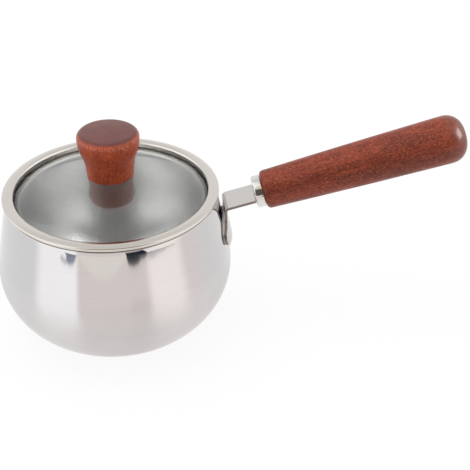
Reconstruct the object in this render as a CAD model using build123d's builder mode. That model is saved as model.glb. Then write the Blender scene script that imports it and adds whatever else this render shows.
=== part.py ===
from build123d import *
import os
from math import acos, asin, atan2, cos, degrees, hypot, radians, sin, sqrt, tan

# Round-bellied steel milk pan with a wooden handle and a domed glass lid.
# Millimetres, +Z up. The origin is the middle of the flat base on the table,
# and the handle runs out along +X.

# Pan body: one drawn steel bowl, flat base, round belly, narrower neck
base_radius = 36.8
neck_radius = 68.8
rim_height = 96.9
belly_overhang = 9.5
belly_height = 45.1
belly_bend = 67.8
bowl_turn = 45.0
pan_wall = 1.0
rim_rounding_share = 0.35

# Handle line: a straight axis in the XZ plane that rises away from the pan, and
# crosses the inner face of the bracket's bend this far out from the rim and below it
bend_standoff = 4.2
handle_axis_drop = 9.76
handle_rise = 15.7

# Handle bracket: a bent steel sheet with a flat neck and a curved, spade-shaped plate
bracket_sheet = 2.0
bracket_bend = 1.6
neck_width = 21.3
neck_top_above_axis = 0.2
plate_curve = 51.0
plate_width = 39.2
plate_bottom_drop = 33.9
plate_shoulder_drop = 26.1
plate_neck_drop = 19.7
plate_corner = 4.0
plate_shoulder_corner = 6.0
weld_gap = 0.05
tang_width = 10.0
tang_length = 10.0

# Ferrule: a short turned cup between the bracket neck and the wood
ferrule_start = 21.65
ferrule_length = 5.8
ferrule_radius = 10.85
ferrule_front_wall = 1.6
ferrule_side_wall = 1.1
ferrule_front_rounding = 1.2
wood_gap = 0.3

# Grip: turned wood, a little thicker towards its round end
grip_length = 125.0
grip_start_radius = 12.8
grip_middle_radius = 14.85
grip_middle_share = 0.56
grip_end_radius = 16.0
grip_end_rounding = 11.3
grip_front_rounding = 2.8

# Stud and threaded insert that hold the grip on the tang
stud_radius = 3.0
stud_length = 50.0
stud_setback = 0.8
insert_radius = 4.5
insert_length = 38.0
tang_pocket_radius = 5.6

# Lid glass: a dome of even thickness, part of a sphere
dome_radius = 138.5
glass_thickness = 4.0
glass_hole_radius = 4.25
glass_drop = 1.93

# Lid ring: one steel strip rolled round the edge of the glass. It steps down to its
# seat on the pan's rim, and its rises are heights of its middle above that step
ring_sheet = 0.6
ring_overhang = 1.2
ring_step = 1.9
ring_cover = 3.34
ring_crown_share = 0.5
ring_inner_rise = 1.65
ring_crown_rise = 2.6
ring_outer_rise = 1.35
ring_inner_bend = 1.3
ring_crown_bend = 5.0
ring_edge_bend = 0.45
ring_seat_bend = 0.35
skirt_clearance = 0.48
skirt_bend = 0.8
lip_length = 2.4

# Lid seal: a silicone ring that packs the space round the edge of the glass, with its
# thickness beside the glass, below its edge and above it
seal_edge = 0.6
seal_floor = 0.6
seal_cover = 1.9

# Knob: turned wood, narrow foot, a side that swells into a round head, domed top. The
# side is one curve that is pulled towards a point above the foot and one below the head
knob_foot_radius = 15.1
knob_lower_pull_radius = 15.5
knob_lower_pull_height = 17.0
knob_upper_pull_radius = 19.5
knob_upper_pull_height = 14.7
knob_side_height = 25.8
knob_head_radius = 19.75
knob_head_height = 30.0
knob_edge_rounding = 4.0
knob_dome_rise = 1.0

# Knob fixing: machine screw from below, steel washer, silicone bush and gasket, insert
screw_radius = 2.5
screw_head_radius = 5.6
screw_head_height = 3.0
screw_length = 19.0
screw_slot_width = 1.2
screw_slot_depth = 1.4
screw_hole_radius = 2.75
washer_radius = 9.0
washer_thickness = 1.0
gasket_radius = 8.0
gasket_thickness = 1.0
knob_insert_radius = 4.0
knob_insert_length = 12.0

# One clearance for pieces that are fitted together, and one overrun for cuts
fit_gap = 0.05
overrun = 5.0

# Values that follow from the sizes above
rise = radians(handle_rise)
belly_radius = neck_radius + belly_overhang
shoulder_height = rim_height - belly_height
lean = atan2(shoulder_height, belly_bend - belly_overhang) - acos(
    belly_bend / hypot(shoulder_height, belly_bend - belly_overhang)
)
turn = radians(bowl_turn)
bowl_reach = belly_radius - base_radius
bowl_spread = cos(turn) + sin(turn) - 1
bowl_bend = (belly_height * cos(turn) - bowl_reach * (1 - sin(turn))) / bowl_spread
base_bend = (bowl_reach * sin(turn) - belly_height * (1 - cos(turn))) / bowl_spread
rim_inner_radius = neck_radius - pan_wall / cos(lean)
skirt_radius = rim_inner_radius - skirt_clearance
glass_radius = skirt_radius - ring_sheet - seal_edge
ring_inner_radius = glass_radius - ring_cover
ring_outer_radius = neck_radius + ring_overhang
ring_level = rim_height + ring_step
dome_centre = ring_level - glass_drop - sqrt(dome_radius**2 - ring_inner_radius**2)
handle_axis_reach = neck_radius + bend_standoff
handle_axis_height = rim_height - handle_axis_drop
ferrule_end = ferrule_start + ferrule_length
grip_start = ferrule_end + wood_gap
grip_end = grip_start + grip_length
handle_direction = (cos(rise), 0, sin(rise))
handle_plane = Plane(
    origin=(handle_axis_reach, 0, handle_axis_height),
    x_dir=handle_direction,
    z_dir=(0, -1, 0),
)
handle_axis = Axis((handle_axis_reach, 0, handle_axis_height), handle_direction)


def cone_radius(height):
    """Outer radius of the pan's straight, leaning shoulder at a height."""
    return neck_radius + (rim_height - height) * tan(lean)


def dome_height(radius, lift=0):
    """Height of the glass dome's top face, moved out by lift, at a radius."""
    return dome_centre + sqrt((dome_radius + lift) ** 2 - radius**2)


def dome_points(start_radius, end_radius, lift=0):
    """Three points of the arc that the dome's section makes between two radii."""
    middle_radius = (start_radius + end_radius) / 2
    return [(r, dome_height(r, lift)) for r in (start_radius, middle_radius, end_radius)]


def bowl_side(inset):
    """Arcs of the bowl's side, this far inside its outer face. Gives the upper arc."""
    CenterArc((base_radius, base_bend), base_bend - inset, -90, 90 - bowl_turn)
    CenterArc((belly_radius - bowl_bend, belly_height), bowl_bend - inset, -bowl_turn, bowl_turn)
    return CenterArc(
        (belly_radius - belly_bend, belly_height), belly_bend - inset, 0, degrees(lean)
    )


def finish(piece, name):
    """Label a finished piece and write it to its own file."""
    piece.part.label = name
    export_step(piece.part, "parts/" + name + ".step")


os.makedirs("parts", exist_ok=True)

# Pan body: the outer section is a flat base, two tangent arcs up to the belly, the
# belly's arc and a straight shoulder, and the inner section runs one wall inside it
with BuildPart() as pan_body:
    with BuildSketch(Plane.XZ):
        with BuildLine():
            Line((0, 0), (base_radius, 0))
            outer_belly = bowl_side(0)
            rim_outer = (neck_radius, rim_height)
            Line(outer_belly @ 1, rim_outer)
            inner_belly = bowl_side(pan_wall)
            rim_inner = (rim_inner_radius, rim_height)
            Line(rim_outer, rim_inner)
            Line(rim_inner, inner_belly @ 1)
            Line((base_radius, pan_wall), (0, pan_wall))
            Line((0, pan_wall), (0, 0))
        bowl_section = make_face()
        fillet(
            bowl_section.vertices().group_by(Axis.Y)[-1],
            radius=rim_rounding_share * pan_wall,
        )
    revolve(axis=Axis.Z)
finish(pan_body, "pan_body")

# Handle bracket: the plate is a piece of a leaning tube whose side edges lie on the
# pan's shoulder, and above it the sheet flattens, bends and runs out as the neck
neck_under = neck_top_above_axis - bracket_sheet
bend_reach = handle_axis_reach
bend_front = bend_reach + bracket_sheet
plate_level = bracket_sheet / cos(lean)
plate_bottom = rim_height - plate_bottom_drop
plate_shoulder = rim_height - plate_shoulder_drop
plate_neck_height = rim_height - plate_neck_drop


def on_handle(along, up=0):
    """Point of the XZ plane at a distance along the handle's axis and above it."""
    return (
        handle_axis_reach + along * cos(rise) - up * sin(rise),
        handle_axis_height + along * sin(rise) + up * cos(rise),
    )


def neck_meets(reach, up):
    """Point where a face of the neck would cross the upright line at a reach."""
    return on_handle((reach - handle_axis_reach + up * sin(rise)) / cos(rise), up)


def plate_edge(height):
    """Reach of the plate's side edges, where they meet the shoulder of the pan."""
    return sqrt(cone_radius(height) ** 2 - (plate_width / 2) ** 2) + weld_gap


def curved_sheet(reach, half_width):
    """Outline of the curved sheet, cut level, with its inner side edges at a reach."""
    outer_curve = plate_curve + plate_level
    centre = reach - sqrt(plate_curve**2 - (plate_width / 2) ** 2)
    side_in = centre + sqrt(plate_curve**2 - half_width**2)
    side_out = centre + sqrt(outer_curve**2 - half_width**2)
    ThreePointArc(
        (side_in, -half_width), (centre + plate_curve, 0), (side_in, half_width)
    )
    Line((side_in, half_width), (side_out, half_width))
    ThreePointArc(
        (side_out, half_width), (centre + outer_curve, 0), (side_out, -half_width)
    )
    Line((side_out, -half_width), (side_in, -half_width))


neck_end = ferrule_start - fit_gap
upper_corner = neck_meets(bend_reach, neck_top_above_axis)
lower_corner = neck_meets(bend_front, neck_under)
upper_bend = bracket_bend + bracket_sheet
bend_start = upper_corner[1] - upper_bend * tan(radians(45) - rise / 2) - bracket_sheet / 4
plate_drop = plate_neck_height - plate_bottom
plate_slope = (plate_edge(plate_bottom) - plate_edge(plate_shoulder)) / (
    plate_shoulder - plate_bottom
)
plate_top_edge = plate_edge(plate_bottom) - plate_slope * plate_drop
plate_run = (plate_drop + overrun) * sqrt(1 + plate_slope**2)

with BuildPart() as handle_bracket:
    with BuildSketch(Plane.XY.offset(plate_neck_height)):
        with BuildLine():
            curved_sheet(plate_top_edge, plate_width / 2)
        make_face()
    extrude(amount=plate_run, dir=(plate_slope, 0, -1))
    with BuildSketch(Plane.YZ) as spade:
        with BuildLine():
            Polyline(
                (-plate_width / 2, plate_bottom),
                (plate_width / 2, plate_bottom),
                (plate_width / 2, plate_shoulder),
                (neck_width / 2, plate_neck_height),
                (-neck_width / 2, plate_neck_height),
                (-plate_width / 2, plate_shoulder),
                close=True,
            )
        make_face()
        fillet(spade.vertices().group_by(Axis.Y)[1], radius=plate_shoulder_corner)
        fillet(spade.vertices().group_by(Axis.Y)[0], radius=plate_corner)
    extrude(amount=bend_front + plate_curve, mode=Mode.INTERSECT)
    half = neck_width / 2
    with BuildSketch(Plane.XY.offset(plate_neck_height)):
        with BuildLine():
            curved_sheet(plate_top_edge, half)
        make_face()
    with BuildSketch(Plane.XY.offset(bend_start)):
        with BuildLine():
            Polyline(
                (bend_reach, -half),
                (bend_reach, half),
                (bend_front, half),
                (bend_front, -half),
                close=True,
            )
        make_face()
    loft()
    with BuildSketch(Plane.XZ):
        with BuildLine():
            upper = FilletPolyline(
                (bend_reach, bend_start),
                upper_corner,
                on_handle(neck_end, neck_top_above_axis),
                radius=upper_bend,
            )
            lower = FilletPolyline(
                (bend_front, bend_start),
                lower_corner,
                on_handle(neck_end, neck_under),
                radius=bracket_bend,
            )
            Line(upper @ 0, lower @ 0)
            Line(upper @ 1, lower @ 1)
        make_face()
    extrude(amount=half, both=True)
    with BuildSketch(Plane.XZ):
        with BuildLine():
            Polyline(
                on_handle(neck_end, neck_top_above_axis),
                on_handle(neck_end + tang_length, neck_top_above_axis),
                on_handle(neck_end + tang_length, neck_under),
                on_handle(neck_end, neck_under),
                close=True,
            )
        make_face()
    extrude(amount=tang_width / 2, both=True)
finish(handle_bracket, "handle_bracket")

# Ferrule: a cup that opens towards the wood, with a slot for the tang in its front
ferrule_bore = ferrule_radius - ferrule_side_wall
with BuildPart() as handle_ferrule:
    with BuildSketch(handle_plane):
        with BuildLine():
            Polyline(
                (ferrule_start, 0),
                (ferrule_start, ferrule_radius),
                (ferrule_end, ferrule_radius),
                (ferrule_end, ferrule_bore),
                (ferrule_start + ferrule_front_wall, ferrule_bore),
                (ferrule_start + ferrule_front_wall, 0),
                close=True,
            )
        make_face()
    revolve(axis=handle_axis)
    front_edge = (
        handle_ferrule.edges()
        .filter_by(GeomType.CIRCLE)
        .filter_by(lambda edge: edge.radius > ferrule_bore + fit_gap)
        .sort_by(handle_axis)[0]
    )
    fillet(front_edge, radius=ferrule_front_rounding)
    with BuildSketch(handle_plane):
        with BuildLine():
            Polyline(
                (ferrule_start - overrun, neck_top_above_axis + fit_gap),
                (ferrule_end, neck_top_above_axis + fit_gap),
                (ferrule_end, neck_under - fit_gap),
                (ferrule_start - overrun, neck_under - fit_gap),
                close=True,
            )
        make_face()
    extrude(amount=tang_width / 2 + fit_gap, both=True, mode=Mode.SUBTRACT)
finish(handle_ferrule, "handle_ferrule")

# Stud: a rod with a forked front end that straddles the tang, fixed to it
stud_start = ferrule_start + ferrule_front_wall + stud_setback
stud_end = stud_start + stud_length
tang_end = neck_end + tang_length
with BuildPart() as handle_stud:
    with BuildSketch(handle_plane):
        with BuildLine():
            Polyline(
                (stud_start, 0),
                (stud_start, stud_radius),
                (stud_end, stud_radius),
                (stud_end, 0),
                close=True,
            )
        make_face()
    revolve(axis=handle_axis)
    chamfer(
        handle_stud.edges().filter_by(GeomType.CIRCLE).sort_by(handle_axis)[-1],
        length=stud_radius / 4,
    )
    with BuildSketch(handle_plane):
        with BuildLine():
            Polyline(
                (stud_start - overrun, neck_top_above_axis + fit_gap),
                (tang_end + fit_gap, neck_top_above_axis + fit_gap),
                (tang_end + fit_gap, neck_under - fit_gap),
                (stud_start - overrun, neck_under - fit_gap),
                close=True,
            )
        make_face()
    extrude(amount=stud_radius + overrun, both=True, mode=Mode.SUBTRACT)
finish(handle_stud, "handle_stud")

# Insert: a sleeve in the grip's bore that the stud screws into
insert_end = stud_end - stud_radius
insert_start = insert_end - insert_length
with BuildPart() as handle_insert:
    with BuildSketch(handle_plane):
        with BuildLine():
            Polyline(
                (insert_start, stud_radius + fit_gap),
                (insert_start, insert_radius),
                (insert_end, insert_radius),
                (insert_end, stud_radius + fit_gap),
                close=True,
            )
        make_face()
    revolve(axis=handle_axis)
finish(handle_insert, "handle_insert")

# Grip: a spigot inside the ferrule, a swelling side and a round end, with a
# pocket for the tang and a blind bore for the insert
spigot_start = ferrule_start + ferrule_front_wall + fit_gap
spigot_radius = ferrule_bore - fit_gap
pocket_end = tang_end + stud_setback
with BuildPart() as handle_grip:
    with BuildSketch(handle_plane):
        with BuildLine():
            Polyline(
                (spigot_start, 0),
                (spigot_start, spigot_radius),
                (grip_start, spigot_radius),
                (grip_start, grip_start_radius),
            )
            side = ThreePointArc(
                (grip_start, grip_start_radius),
                (grip_start + grip_middle_share * grip_length, grip_middle_radius),
                (grip_end, grip_end_radius),
            )
            corner = JernArc(side @ 1, side % 1, radius=grip_end_rounding, arc_size=-90)
            tip = corner @ 1
            Polyline(tip, (tip.X, 0), (spigot_start, 0))
        grip_section = make_face()
        front_corner = grip_section.vertices().sort_by_distance((grip_start, grip_start_radius))
        fillet(front_corner[0], radius=grip_front_rounding)
    revolve(axis=handle_axis)
    with BuildSketch(handle_plane):
        with BuildLine():
            Polyline(
                (spigot_start - overrun, 0),
                (spigot_start - overrun, tang_pocket_radius),
                (pocket_end, tang_pocket_radius),
                (pocket_end, insert_radius + fit_gap),
                (stud_end + stud_setback, insert_radius + fit_gap),
                (stud_end + stud_setback, 0),
                close=True,
            )
        make_face()
    revolve(axis=handle_axis, mode=Mode.SUBTRACT)
finish(handle_grip, "handle_grip")

# Lid glass: a spherical dome with a ground edge and a hole for the knob's screw
with BuildPart() as lid_glass:
    with BuildSketch(Plane.XZ):
        with BuildLine():
            glass_top = ThreePointArc(*dome_points(glass_hole_radius, glass_radius))
            glass_under = ThreePointArc(
                *dome_points(glass_hole_radius, glass_radius, -glass_thickness)
            )
            Line(glass_top @ 0, glass_under @ 0)
            Line(glass_top @ 1, glass_under @ 1)
        make_face()
    revolve(axis=Axis.Z)
finish(lid_glass, "lid_glass")

# Lid ring: the strip's section follows one bent line: up from the glass, over the
# crown, round the outer edge, down the step, in along the rim, down the skirt, in at
# the lip
half_sheet = ring_sheet / 2
seal_bottom = dome_height(glass_radius, -glass_thickness - fit_gap) - seal_floor
skirt_bottom = seal_bottom - fit_gap - ring_sheet
ring_foot_radius = ring_inner_radius + half_sheet
ring_seat = rim_height + half_sheet
ring_step_radius = neck_radius - rim_rounding_share * pan_wall - half_sheet
ring_crown_radius = ring_inner_radius + ring_crown_share * (ring_outer_radius - ring_inner_radius)
with BuildPart() as lid_ring:
    with BuildSketch(Plane.XZ):
        with BuildLine():
            FilletPolyline(
                (ring_foot_radius, dome_height(ring_foot_radius) + ring_sheet),
                (ring_foot_radius, ring_level + ring_inner_rise),
                (ring_crown_radius, ring_level + ring_crown_rise),
                (ring_outer_radius - half_sheet, ring_level + ring_outer_rise),
                (ring_outer_radius - half_sheet, ring_level + half_sheet),
                (ring_step_radius, ring_level + half_sheet),
                (ring_step_radius, ring_seat),
                (skirt_radius - half_sheet, ring_seat),
                (skirt_radius - half_sheet, skirt_bottom + half_sheet),
                (skirt_radius - half_sheet - lip_length, skirt_bottom + half_sheet),
                radius=[
                    ring_inner_bend,
                    ring_crown_bend,
                    ring_edge_bend,
                    ring_edge_bend,
                    ring_edge_bend,
                    ring_seat_bend,
                    ring_edge_bend,
                    skirt_bend,
                ],
            )
            offset(amount=half_sheet, side=Side.BOTH)
        make_face()
    revolve(axis=Axis.Z)
finish(lid_ring, "lid_ring")

# Lid seal: a ring section between the glass and the strip, grooved for the glass
seal_outer_radius = skirt_radius - ring_sheet - fit_gap
seal_inner_radius = ring_inner_radius + ring_sheet + fit_gap
seal_top = dome_height(seal_inner_radius, fit_gap) + seal_cover
groove_radius = glass_radius + fit_gap
with BuildPart() as lid_seal:
    with BuildSketch(Plane.XZ):
        with BuildLine():
            Polyline(
                (seal_inner_radius, seal_bottom),
                (seal_outer_radius, seal_bottom),
                (seal_outer_radius, seal_top),
                (seal_inner_radius, seal_top),
                close=True,
            )
        seal_section = make_face()
        fillet(
            seal_section.vertices().group_by(Axis.Y)[0].sort_by(Axis.X)[-1],
            radius=skirt_bend,
        )
    revolve(axis=Axis.Z)
    with BuildSketch(Plane.XZ):
        with BuildLine():
            groove_start = seal_inner_radius - overrun
            over = ThreePointArc(*dome_points(groove_start, groove_radius, fit_gap))
            under = ThreePointArc(
                *dome_points(groove_start, groove_radius, -glass_thickness - fit_gap)
            )
            Line(over @ 0, under @ 0)
            Line(over @ 1, under @ 1)
        make_face()
    revolve(axis=Axis.Z, mode=Mode.SUBTRACT)
finish(lid_seal, "lid_seal")

# Knob: the foot follows the dome, the side swells into the head, the top is domed
knob_foot = dome_height(knob_foot_radius, fit_gap)
knob_head = knob_foot + knob_head_height
knob_dome_radius = (knob_head_radius**2 + knob_dome_rise**2) / (2 * knob_dome_rise)
knob_dome_angle = degrees(asin(knob_head_radius / knob_dome_radius))
recess_radius = gasket_radius + fit_gap
knob_bore_end = dome_height(0) + gasket_thickness + knob_insert_length + washer_thickness
with BuildPart() as lid_knob:
    with BuildSketch(Plane.XZ):
        with BuildLine():
            ThreePointArc(*dome_points(recess_radius, knob_foot_radius, fit_gap))
            Bezier(
                (knob_foot_radius, knob_foot),
                (knob_lower_pull_radius, knob_foot + knob_lower_pull_height),
                (knob_upper_pull_radius, knob_foot + knob_upper_pull_height),
                (knob_head_radius, knob_foot + knob_side_height),
            )
            Line((knob_head_radius, knob_foot + knob_side_height), (knob_head_radius, knob_head))
            CenterArc(
                (0, knob_head + knob_dome_rise - knob_dome_radius),
                knob_dome_radius,
                90 - knob_dome_angle,
                knob_dome_angle,
            )
            Line((0, knob_head + knob_dome_rise), (0, knob_bore_end))
            Polyline(
                (0, knob_bore_end),
                (knob_insert_radius + fit_gap, knob_bore_end),
                (knob_insert_radius + fit_gap, dome_height(0) + gasket_thickness + fit_gap),
                (recess_radius, dome_height(0) + gasket_thickness + fit_gap),
                (recess_radius, dome_height(recess_radius, fit_gap)),
            )
        knob_section = make_face()
        head_corner = knob_section.vertices().sort_by_distance((knob_head_radius, knob_head))
        fillet(head_corner[0], radius=knob_edge_rounding)
    revolve(axis=Axis.Z)
finish(lid_knob, "lid_knob")

# Upper gasket: a silicone disc in the knob's recess that lies on the dome
with BuildPart() as knob_gasket:
    with BuildSketch(Plane.XZ):
        with BuildLine():
            ThreePointArc(*dome_points(screw_hole_radius, gasket_radius, fit_gap))
            Polyline(
                (gasket_radius, dome_height(gasket_radius, fit_gap)),
                (gasket_radius, dome_height(0) + gasket_thickness),
                (screw_hole_radius, dome_height(0) + gasket_thickness),
                (screw_hole_radius, dome_height(screw_hole_radius, fit_gap)),
            )
        make_face()
    revolve(axis=Axis.Z)
finish(knob_gasket, "knob_gasket")

# Bush: a silicone collar through the glass with a shoulder under it
shoulder_lift = -glass_thickness - fit_gap
bush_bottom = dome_height(washer_radius, shoulder_lift) - gasket_thickness
bush_radius = glass_hole_radius - fit_gap
with BuildPart() as knob_bush:
    with BuildSketch(Plane.XZ):
        with BuildLine():
            Polyline(
                (bush_radius, dome_height(bush_radius, shoulder_lift)),
                (bush_radius, dome_height(bush_radius)),
                (screw_hole_radius, dome_height(bush_radius)),
                (screw_hole_radius, bush_bottom),
                (washer_radius, bush_bottom),
                (washer_radius, dome_height(washer_radius, shoulder_lift)),
            )
            ThreePointArc(*dome_points(bush_radius, washer_radius, shoulder_lift))
        make_face()
    revolve(axis=Axis.Z)
finish(knob_bush, "knob_bush")

# Washer: a flat steel ring under the bush
washer_bottom = bush_bottom - washer_thickness
with BuildPart() as knob_washer:
    with BuildSketch(Plane.XY.offset(washer_bottom)):
        Circle(washer_radius)
        Circle(screw_hole_radius, mode=Mode.SUBTRACT)
    extrude(amount=washer_thickness)
    chamfer(
        knob_washer.edges().filter_by(GeomType.CIRCLE).group_by(Axis.Z)[0].sort_by(
            SortBy.RADIUS
        )[-1],
        length=washer_thickness / 4,
    )
finish(knob_washer, "knob_washer")

# Screw: a slotted round head below the washer and a shank up into the insert
with BuildPart() as knob_screw:
    with BuildSketch(Plane.XY.offset(washer_bottom)):
        Circle(screw_head_radius)
    extrude(amount=-screw_head_height)
    fillet(
        knob_screw.edges().group_by(Axis.Z)[0],
        radius=screw_head_height / 2,
    )
    with BuildSketch(Plane.XY.offset(washer_bottom - screw_head_height)):
        Rectangle(2 * screw_head_radius + overrun, screw_slot_width)
    extrude(amount=screw_slot_depth, mode=Mode.SUBTRACT)
    with BuildSketch(Plane.XY.offset(washer_bottom)):
        Circle(screw_radius)
    extrude(amount=screw_length)
finish(knob_screw, "knob_screw")

# Knob insert: a sleeve in the knob's bore that the screw turns into
with BuildPart() as knob_insert:
    with BuildSketch(Plane.XY.offset(dome_height(0) + gasket_thickness + fit_gap)):
        Circle(knob_insert_radius)
        Circle(screw_radius + fit_gap, mode=Mode.SUBTRACT)
    extrude(amount=knob_insert_length)
finish(knob_insert, "knob_insert")
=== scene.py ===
import bpy
import numpy as np
from mathutils import Matrix, Vector


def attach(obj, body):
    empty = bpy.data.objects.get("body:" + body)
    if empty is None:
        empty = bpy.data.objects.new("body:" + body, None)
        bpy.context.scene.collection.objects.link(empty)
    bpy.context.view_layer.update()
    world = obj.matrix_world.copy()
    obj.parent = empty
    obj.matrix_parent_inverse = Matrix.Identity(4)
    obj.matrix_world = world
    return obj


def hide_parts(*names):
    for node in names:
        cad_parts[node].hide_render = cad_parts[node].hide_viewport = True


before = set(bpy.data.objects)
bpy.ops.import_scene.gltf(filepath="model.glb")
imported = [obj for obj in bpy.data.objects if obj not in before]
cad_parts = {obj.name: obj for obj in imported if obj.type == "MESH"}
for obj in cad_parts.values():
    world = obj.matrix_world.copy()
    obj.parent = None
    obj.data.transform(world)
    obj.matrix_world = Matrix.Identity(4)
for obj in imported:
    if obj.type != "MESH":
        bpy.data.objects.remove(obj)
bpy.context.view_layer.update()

# Round-bellied steel milk pan with a wooden handle and a domed glass lid. Sizes are in
# millimetres here, and each mesh is written in metres.
MM = 0.001

# Pan body
base_radius = 36.8
neck_radius = 68.8
rim_height = 96.9
belly_radius = 78.3
belly_height = 45.1
belly_bend = 67.8
bowl_turn = np.radians(45.0)
pan_wall = 1.0
rim_rounding = 0.35
# Height of the point on the axis that all the faces inside the bowl look towards
bowl_middle = 60.0

# Handle line
bend_reach = 73.0
axis_height = 87.14
rise = np.radians(15.7)

# Bracket
bracket_sheet = 2.0
bracket_bend = 1.6
neck_width = 21.3
neck_top = 0.2
plate_curve = 51.0
plate_width = 39.2
plate_bottom = 63.0
plate_shoulder = 70.8
plate_neck = 77.2
plate_corner = 4.0
shoulder_corner = 6.0
neck_corner = 1.2
bracket_edge = 0.28
# Between these heights the duller finish and painted shade of the plate's upper and lower cut edges fade
# out
plate_edge_end = (80.0, 82.0)

# Ferrule and grip, as distances along the handle's axis from the bend
ferrule_start = 21.65
ferrule_end = 27.45
ferrule_radius = 10.85
ferrule_front_wall = 1.6
ferrule_side_wall = 1.1
# Roundings of the cup's section, from its front edge to its inner corner
ferrule_bends = (1.2, 0.3, 0.2, 0.2)
grip_start = 27.75
grip_middle = 97.75
grip_end = 152.75
grip_start_radius = 12.8
grip_middle_radius = 14.85
grip_end_radius = 16.0
grip_front_rounding = 2.8
grip_end_rounding = 11.3

# Lid glass and ring
dome_radius = 138.5
glass_thickness = 4.0
glass_radius = 66.1
glass_hole = 4.25
glass_drop = 1.93
glass_edge_rounding = 0.4
glass_hole_rounding = 0.3
ring_sheet = 0.6
ring_inner_radius = 62.76
ring_outer_radius = 70.0
skirt_radius = 67.3
ring_step_radius = 68.15
ring_step = 1.9
ring_inner_rise = 1.65
ring_crown_rise = 2.6
ring_outer_rise = 1.35
# Bends of the strip's middle line, from its inner edge to its lip
ring_bends = (1.3, 5.0, 0.45, 0.45, 0.45, 0.35, 0.45, 0.8)
ring_end_bulge = 0.7
lip_length = 2.4
seal_floor = 0.6
ring_level = rim_height + ring_step
dome_centre = ring_level - glass_drop - np.sqrt(dome_radius**2 - ring_inner_radius**2)

# Knob
knob_foot_radius = 15.1
knob_lower_pull = (15.5, 17.0)
knob_upper_pull = (19.5, 14.7)
knob_side_height = 25.8
knob_head_radius = 19.75
knob_head_height = 30.0
knob_edge_rounding = 4.0
knob_dome_rise = 1.0
knob_recess_radius = 8.05
knob_recess_depth = 1.0
knob_bore_radius = 4.05
knob_bore_depth = 14.0
# Roundings under the knob, from the bore's end to the foot's edge
knob_under_bends = (0.1, 0.15, 0.1, 0.2, 0.35)

# Clearance of pieces that are fitted together
fit_gap = 0.05

# Lean of the bowl's straight shoulder from upright
shoulder_rise = rim_height - belly_height
shoulder_reach = belly_bend - belly_radius + neck_radius
lean = np.arctan2(shoulder_rise, shoulder_reach) - np.arccos(
    belly_bend / np.hypot(shoulder_rise, shoulder_reach)
)


def bent_line(corners, bends, steps):
    """Straight runs joined by tangent arcs. At a corner that turns by an angle, the arc's
    centre lies bend / cos(angle / 2) from the corner, on the line that halves it."""
    corners = np.asarray(corners, float)
    pieces = [corners[:1]]
    for before, corner, after, bend in zip(corners, corners[1:], corners[2:], bends):
        back = (before - corner) / np.linalg.norm(before - corner)
        on = (after - corner) / np.linalg.norm(after - corner)
        turn = np.pi - np.arccos(back @ on)
        halfway = (back + on) / np.linalg.norm(back + on)
        across = (on - back) / np.linalg.norm(on - back)
        centre = corner + halfway * bend / np.cos(turn / 2)
        angle = np.linspace(-turn / 2, turn / 2, steps + 1)[:, None]
        pieces.append(centre - bend * (np.cos(angle) * halfway - np.sin(angle) * across))
    pieces.append(corners[-1:])
    return np.concatenate(pieces)


def round_arc(centre, radius, start, end, steps):
    """Points of a circle's arc: centre + radius * (cos, sin) from one angle to another."""
    angle = np.linspace(start, end, steps + 1)
    return np.column_stack([centre[0] + radius * np.cos(angle), centre[1] + radius * np.sin(angle)])


def arc_through(first, middle, last, steps):
    """Points of the circle's arc through three points, evenly spaced in angle."""
    first, middle, last = (np.asarray(point, float) for point in (first, middle, last))
    lines = 2 * np.array([middle - first, last - first])
    centre = np.linalg.solve(lines, [middle @ middle - first @ first, last @ last - first @ first])
    angles = np.unwrap(
        [np.arctan2(*(point - centre)[::-1]) for point in (first, middle, last)]
    )
    return round_arc(centre, np.linalg.norm(first - centre), angles[0], angles[2], steps)


def moved_line(line, distance):
    """The line shifted sideways, to its left, by a distance at every point."""
    run = np.gradient(line, axis=0)
    run /= np.linalg.norm(run, axis=1)[:, None]
    return line + distance * np.column_stack([-run[:, 1], run[:, 0]])


def close_runs(line, longest):
    """The line with extra points, so that no straight run is longer than this."""
    parts = [line[:1]]
    for start, end in zip(line, line[1:]):
        count = max(1, int(np.ceil(np.linalg.norm(end - start) / longest)))
        parts.append(start + (end - start) * (np.arange(1, count + 1) / count)[:, None])
    return np.concatenate(parts)


def write_piece(name, points, faces, body, slot, finish, nodes):
    """A mesh from an array of points, in millimetres, and a list of faces. It rides on a
    body and stands for CAD nodes. Its slot is not used."""
    mesh = bpy.data.meshes.new(name)
    mesh.from_pydata((points * MM).tolist(), [], faces)
    mesh.polygons.foreach_set("use_smooth", np.ones(len(mesh.polygons), bool))
    mesh.update()
    piece = bpy.data.objects.new(name, mesh)
    bpy.context.scene.collection.objects.link(piece)
    mesh.materials.append(finish)
    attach(piece, body)
    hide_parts(*nodes)


def grid_quads(rows, columns, wrap_rows):
    """Corner numbers of the faces between neighbouring rows and columns of a grid. The
    columns always close, and the rows close where the section is a loop."""
    row = np.arange(rows if wrap_rows else rows - 1)[:, None]
    column = np.arange(columns)[None, :]
    here, there = row * columns, (row + 1) % rows * columns
    beside = (column + 1) % columns
    return np.stack(
        [here + column, here + beside, there + beside, there + column], axis=-1
    ).reshape(-1, 4)


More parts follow.
